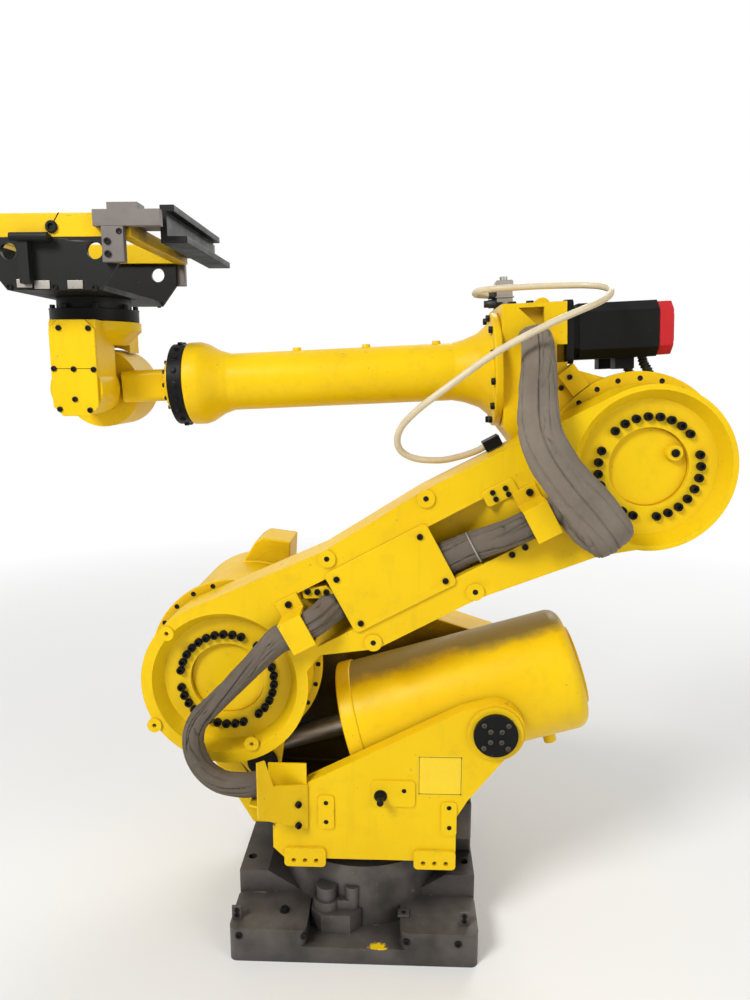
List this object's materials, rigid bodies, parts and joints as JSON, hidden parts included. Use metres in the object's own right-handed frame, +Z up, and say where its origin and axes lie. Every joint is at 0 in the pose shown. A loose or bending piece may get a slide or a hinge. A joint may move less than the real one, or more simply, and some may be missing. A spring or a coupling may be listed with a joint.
{
  "type": "industrial robot arm",
  "caption": "Heavy floor-standing articulated robot arm with balancer cylinder, fabric cable sleeve and a gripping frame on its wrist, folded as for transport.",
  "frame": {"origin": "on the first axis, at the floor face of the base", "axes": "+X ahead of the robot, +Y to its left, +Z up"},
  "size_m": [1.7968, 0.8562, 1.7376],
  "materials": {
    "yellow_paint": "worn satin enamel",
    "grey_paint": "dusty matt enamel",
    "black_steel": "blackened",
    "motor_black": "satin",
    "motor_red": "satin",
    "bare_steel": "worn",
    "tool_dark": "matt enamel with scratches",
    "tool_grey": "machined",
    "sleeve_fabric": "woven, creased",
    "hose": "smooth"
  },
  "bodies": {
    "base": {"base_casting": "grey_paint", "base_rear_box": "grey_paint", "turn_stop": "grey_paint", "turn_bearing": "bare_steel"},
    "turret": {"turret_casting": "yellow_paint", "shoulder_gear_flange": "yellow_paint", "near_cheek": "yellow_paint", "trunnion_cap": "black_steel", "cable_bracket": "yellow_paint", "turret_rear_box": "grey_paint", "turret_motors": "motor_black", "turret_motor_caps": "motor_red"},
    "lower_arm": {"lower_arm_casting": "yellow_paint", "shoulder_cover": "yellow_paint", "elbow_cover": "yellow_paint", "arm_cover_plate": "yellow_paint", "lower_sleeve_clamp": "yellow_paint", "upper_sleeve_clamp": "yellow_paint", "sleeve_middle": "sleeve_fabric", "arm_connectors": "black_steel", "rod_pin": "black_steel", "sleeve_lower_loop": "sleeve_fabric"},
    "balancer": {"balancer_cylinder": "yellow_paint", "balancer_collar": "yellow_paint"},
    "balancer_rod": {"balancer_rod": "bare_steel"},
    "upper_arm": {"elbow_casting": "yellow_paint", "elbow_gear_flange": "yellow_paint", "forearm_tube": "yellow_paint", "forearm_end_ring": "black_steel", "valve_block": "bare_steel", "elbow_motors": "motor_black", "elbow_motor_caps": "motor_red", "sleeve_upper_loop": "sleeve_fabric", "air_hose": "hose"},
    "wrist_roll": {"wrist_arm": "yellow_paint"},
    "wrist_bend": {"wrist_housing": "yellow_paint", "wrist_side_cover": "yellow_paint"},
    "tool": {"tool_flange": "black_steel", "tool_adapter": "tool_dark", "frame_plates": "tool_dark", "frame_bars": "yellow_paint", "frame_side_beams": "yellow_paint", "frame_rails": "tool_dark", "frame_clamp_blocks": "tool_grey", "frame_top_bars": "tool_grey", "frame_lever": "tool_dark"}
  },
  "joints": [
    {"name": "turn", "type": "hinge", "parent": "base", "child": "turret", "pos_m": [0, 0, 0], "axis": [0, 0, 1], "range_deg": [-180, 180]},
    {"name": "shoulder", "type": "hinge", "parent": "turret", "child": "lower_arm", "pos_m": [0.312, 0, 0.67], "axis": [0, 1, 0], "range_deg": [0, 136], "deforming": ["sleeve_lower_loop"]},
    {"name": "elbow", "type": "hinge", "parent": "lower_arm", "child": "upper_arm", "pos_m": [-0.63629, 0, 1.17634], "axis": [0, -1, 0], "range_deg": [0, 230], "deforming": ["sleeve_upper_loop", "air_hose"]},
    {"name": "wrist_roll", "type": "hinge", "parent": "upper_arm", "child": "wrist_roll", "pos_m": [-0.62608, 0, 1.40111], "axis": [0.999, 0, -0.0454], "range_deg": [-360, 360]},
    {"name": "wrist_bend", "type": "hinge", "parent": "wrist_roll", "child": "wrist_bend", "pos_m": [0.66259, 0, 1.34259], "axis": [0, -1, 0], "range_deg": [-217.6, 32.4]},
    {"name": "tool_turn", "type": "hinge", "parent": "wrist_bend", "child": "tool", "pos_m": [0.66259, 0, 1.34259], "axis": [0, 0, 1], "range_deg": [-360, 360]},
    {"name": "balancer_tilt", "type": "hinge", "parent": "turret", "child": "balancer", "pos_m": [-0.314, 0.048, 0.562], "axis": [0, 1, 0], "range_deg": [-48, 0]},
    {"name": "rod_swing", "type": "hinge", "parent": "lower_arm", "child": "balancer_rod", "pos_m": [0.247, 0.048, 0.425], "axis": [0, 1, 0], "range_deg": [-184, 0]}
  ],
  "couplings": [
    {"joint": "balancer_tilt", "follows": "shoulder", "ratio": -0.35},
    {"joint": "rod_swing", "follows": "shoulder", "ratio": -1.35}
  ]
}
